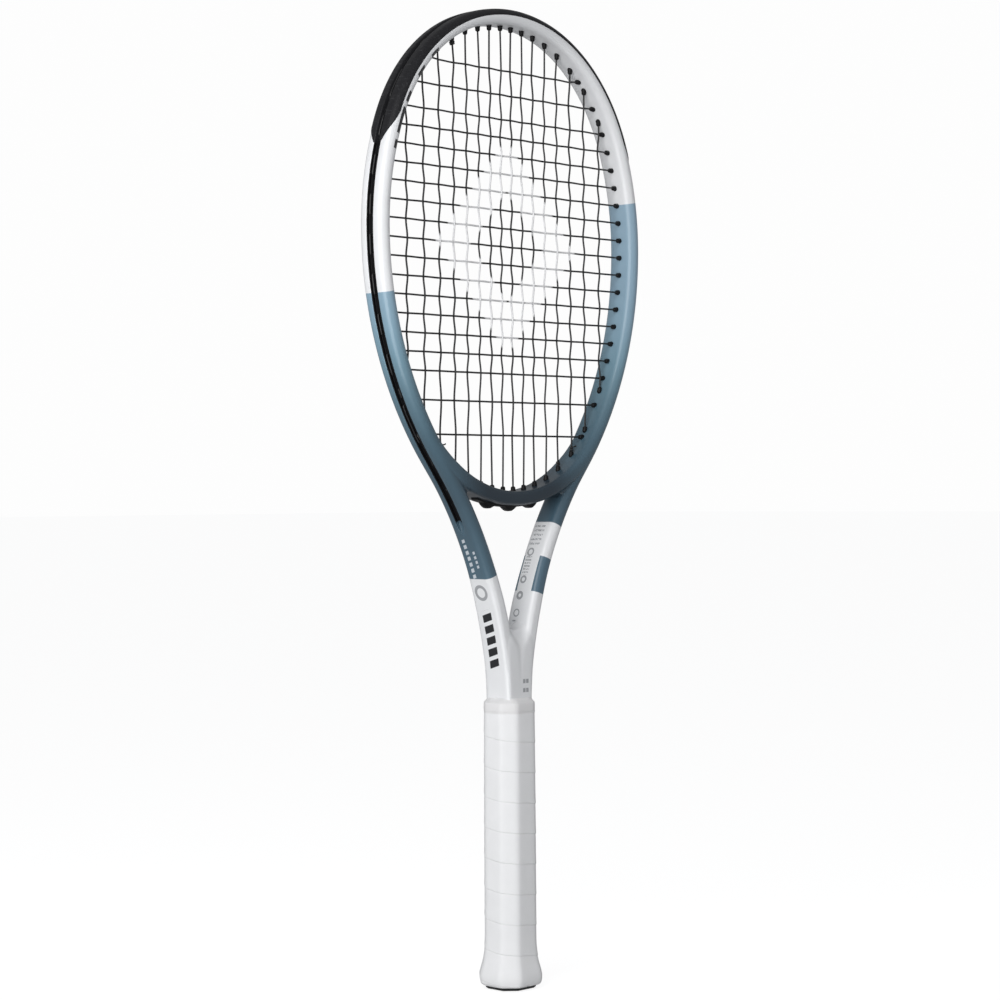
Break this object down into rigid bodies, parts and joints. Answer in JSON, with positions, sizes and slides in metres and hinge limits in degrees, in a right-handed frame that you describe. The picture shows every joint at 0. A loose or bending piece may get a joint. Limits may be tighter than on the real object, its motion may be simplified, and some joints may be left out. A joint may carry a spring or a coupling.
{
  "type": "tennis racket",
  "caption": "Strung tennis racket with a hollow hairpin frame, throat bridge, bumper guard, woven string bed and a wrapped octagonal handle.",
  "frame": {"origin": "centre of the butt end, on its flat face", "axes": "+Z along the handle to the tip of the head, +X across the head in the plane of the strings, +Y square to the strings, so the front face looks along -Y"},
  "size_m": [0.2625, 0.0402, 0.6858],
  "materials": {
    "frame_paint": "satin lacquer over carbon composite",
    "black_nylon": "moulded matte",
    "string": "smooth co-polyester",
    "handle_foam": "moulded foam",
    "butt_plastic": "moulded matte",
    "staple_steel": "drawn wire",
    "grip": "smooth synthetic leather",
    "tape": "woven adhesive tape",
    "collar_rubber": "moulded soft rubber"
  },
  "bodies": {
    "racket": {"hairpin_frame": "frame_paint", "throat_bridge": "frame_paint", "bumper_guard": "black_nylon", "left_grommet_strip": "black_nylon", "right_grommet_strip": "black_nylon", "throat_grommet_strip": "black_nylon", "main_string": "string", "cross_string": "string", "main_string_knots": "string", "cross_string_knots": "string", "front_pallet": "handle_foam", "rear_pallet": "handle_foam", "left_shaft_plug": "handle_foam", "right_shaft_plug": "handle_foam", "butt_cap": "butt_plastic", "butt_cap_staples": "staple_steel", "grip_wrap": "grip", "finishing_tape": "tape", "grip_collar": "collar_rubber"},
    "door": {"butt_cap_door": "butt_plastic"}
  },
  "joints": [
    {"name": "butt_door_pull", "type": "slide", "parent": "racket", "child": "door", "axis": [0, 0, -1], "range_m": [0, 0.012]}
  ]
}
